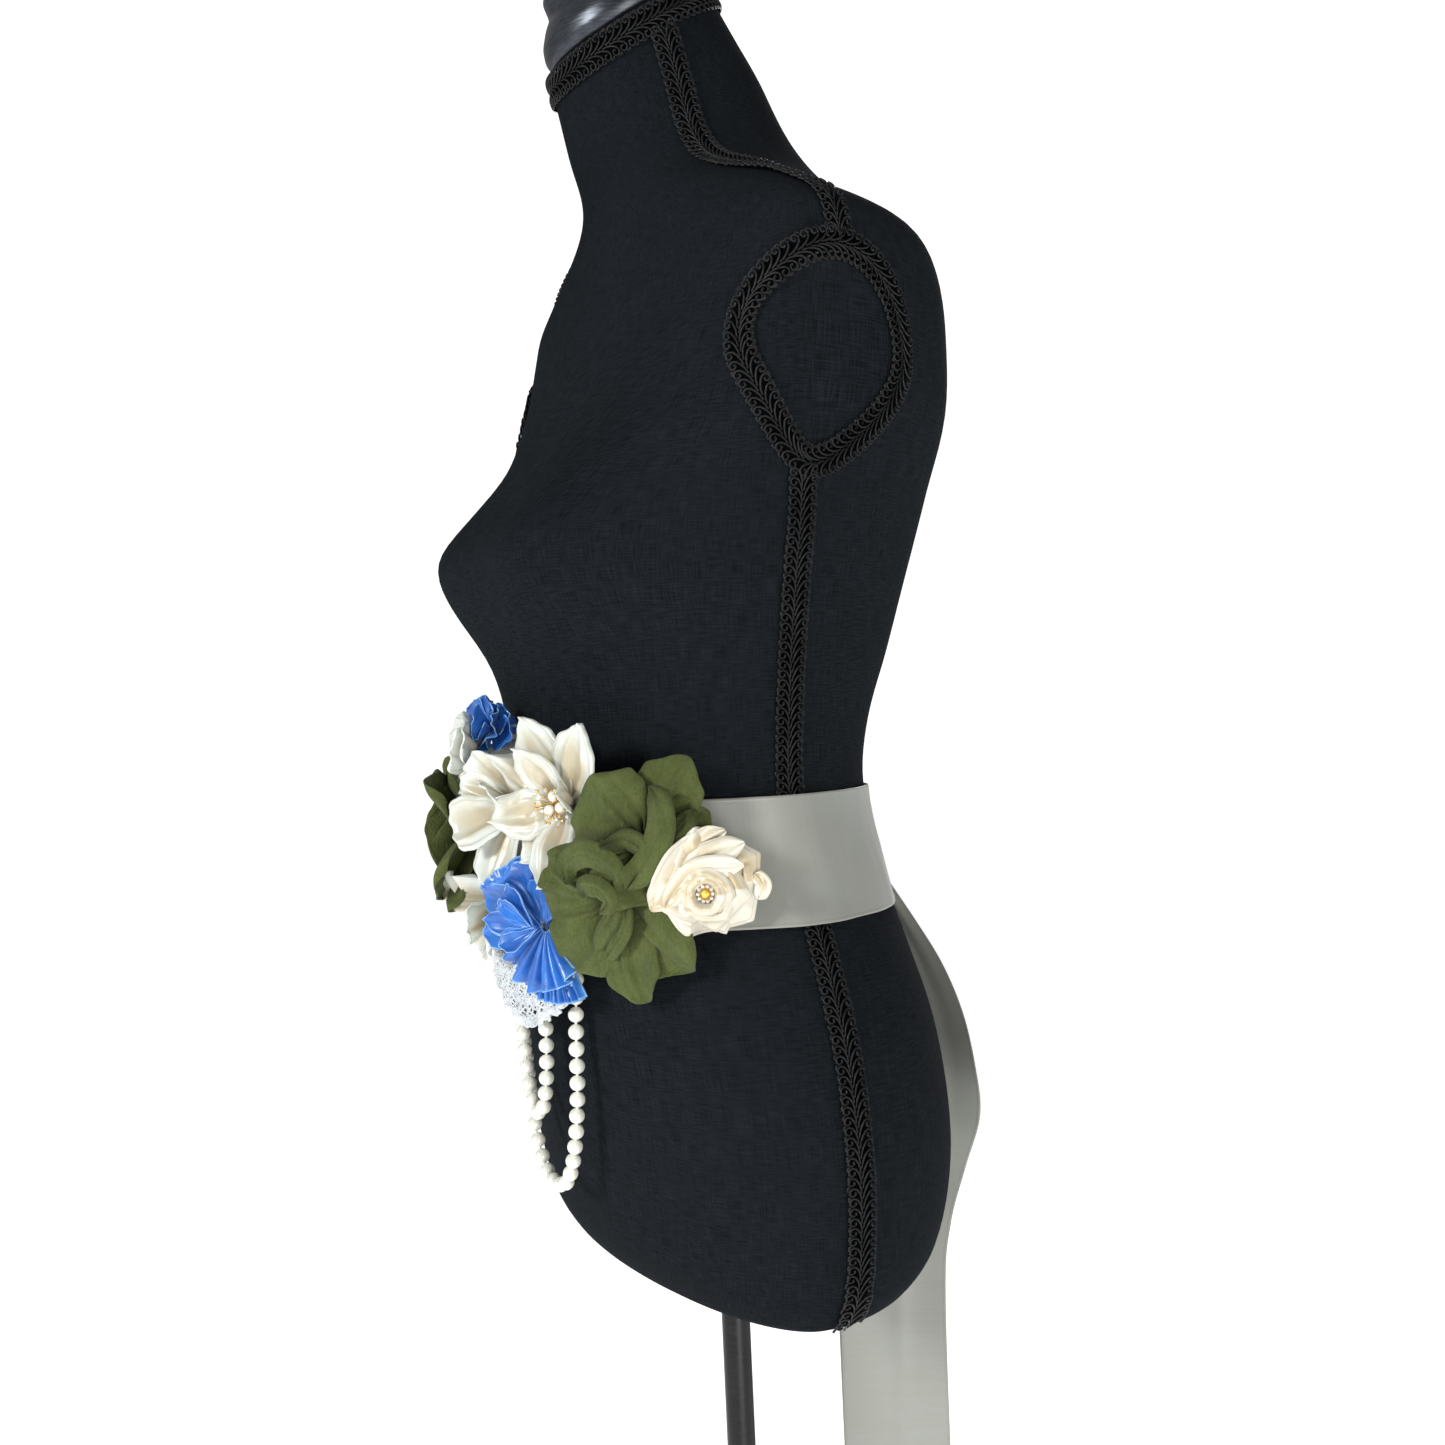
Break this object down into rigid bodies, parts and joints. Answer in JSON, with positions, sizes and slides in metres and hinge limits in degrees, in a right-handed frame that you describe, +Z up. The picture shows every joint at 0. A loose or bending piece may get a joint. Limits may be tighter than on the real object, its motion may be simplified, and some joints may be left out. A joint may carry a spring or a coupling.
{
  "type": "maternity sash on a dress form",
  "caption": "Satin ribbon sash with a cluster of cloth flowers, lace and pearl strands at the front and two long tails behind, worn on a limbless dress form on a round stand.",
  "frame": {"origin": "centre of the stand base's underside, on the floor", "axes": "+Z up; the form faces -Y, so its front and the flowers are toward -Y and +X, and the knot and tails are toward +Y; +X is the form's own left side"},
  "size_m": [0.3216, 0.3169, 1.5343],
  "materials": {
    "form_cloth": "matte woven linen, near black",
    "gimp_black": "dull scroll braid",
    "stand_metal": "satin black paint",
    "cap_metal": "dark grey, brushed",
    "ivory_ribbon": "satin ribbon with a soft sheen",
    "ivory_felt": "matte felt",
    "ivory_satin": "glossy satin",
    "cream_satin": "glossy satin",
    "olive_chiffon": "matte crepe chiffon",
    "blue_satin": "glossy satin",
    "white_lace": "matte cotton lace",
    "pearl": "lustrous imitation pearl",
    "gold": "polished gold plate"
  },
  "bodies": {
    "root": {"form_body": "form_cloth", "base": "stand_metal", "pole": "stand_metal", "neck_cap": "cap_metal", "gimp_neck": "gimp_black", "gimp_armhole_left": "gimp_black", "gimp_armhole_right": "gimp_black", "gimp_side_left": "gimp_black", "gimp_side_right": "gimp_black", "gimp_shoulder_left": "gimp_black", "gimp_shoulder_right": "gimp_black", "sash_band": "ivory_ribbon", "knot_back": "ivory_ribbon", "tail_left": "ivory_ribbon", "tail_right": "ivory_ribbon", "felt_backing": "ivory_felt", "lace_trim": "white_lace", "pearls_outer": "pearl", "pearls_inner": "pearl", "rose": "cream_satin", "green_upper": "olive_chiffon", "green_lower": "olive_chiffon", "ivory_main": "ivory_satin", "blue_front": "blue_satin", "ivory_second": "ivory_satin", "green_far": "olive_chiffon", "ivory_far": "ivory_satin", "blue_far": "blue_satin", "ivory_low": "ivory_satin", "rose_jewel": "gold", "stamens": "pearl"}
  },
  "joints": []
}
